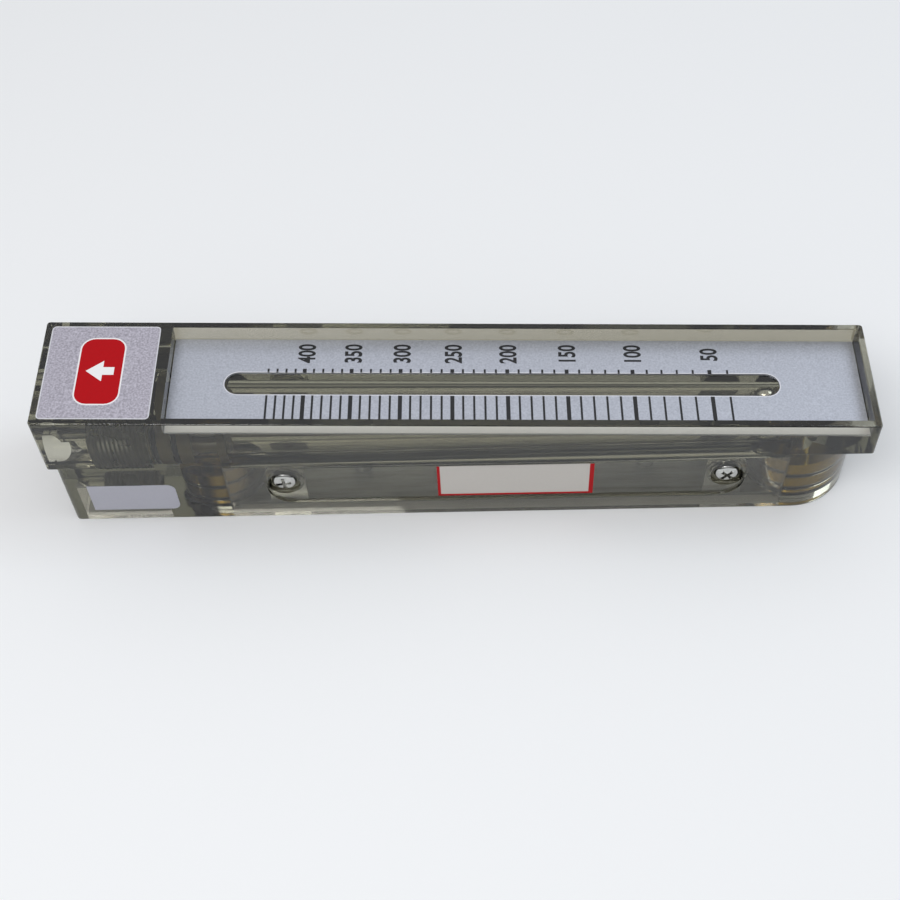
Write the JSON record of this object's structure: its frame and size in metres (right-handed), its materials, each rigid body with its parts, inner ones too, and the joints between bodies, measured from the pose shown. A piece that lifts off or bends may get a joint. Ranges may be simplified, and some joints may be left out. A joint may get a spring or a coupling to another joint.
{
  "type": "rotameter",
  "caption": "Variable-area flowmeter with a clear wedge-shaped body, a tapered bore with a ball float, a recessed metal scale, and threaded ports at the back.",
  "frame": {"origin": "middle of the bounding box at the flat back", "axes": "+X from the top (outlet) end to the bottom (inlet) end, +Z out of the back through the scale, -Y the side with the labels"},
  "size_m": [0.3842, 0.0604, 0.0794],
  "materials": {
    "clear_body": "clear polished moulding",
    "clear_plug": "clear moulding with a cut thread",
    "scale": "satin anodised, fine speckle",
    "label": "blank printed film",
    "steel": "mill finish stainless",
    "screws": "bright plated",
    "brass": "turned",
    "seal": "smooth moulded",
    "float": "ground ball"
  },
  "bodies": {
    "housing": {"body": "clear_body", "scale_plate": "scale", "name_plate": "scale", "side_label": "label", "end_label": "label", "lower_seat": "steel", "upper_stop": "steel", "inner_stop_ring": "seal", "outer_stop_ring": "seal", "end_plug": "clear_plug", "top_port_insert": "brass", "top_port_ring_low": "seal", "top_port_ring_high": "seal", "bottom_port_insert": "brass", "bottom_port_ring_low": "seal", "bottom_port_ring_high": "seal", "backbone": "steel", "mounting_nut_top": "steel", "mounting_nut_bottom": "steel", "near_screw_top": "screws", "near_screw_bottom": "screws", "far_screw_top": "screws", "far_screw_bottom": "screws"},
    "float": {"float": "float"}
  },
  "joints": [
    {"name": "float_slide", "type": "slide", "parent": "housing", "child": "float", "axis": [-1, 0, 0], "range_m": [0, 0.248]}
  ]
}
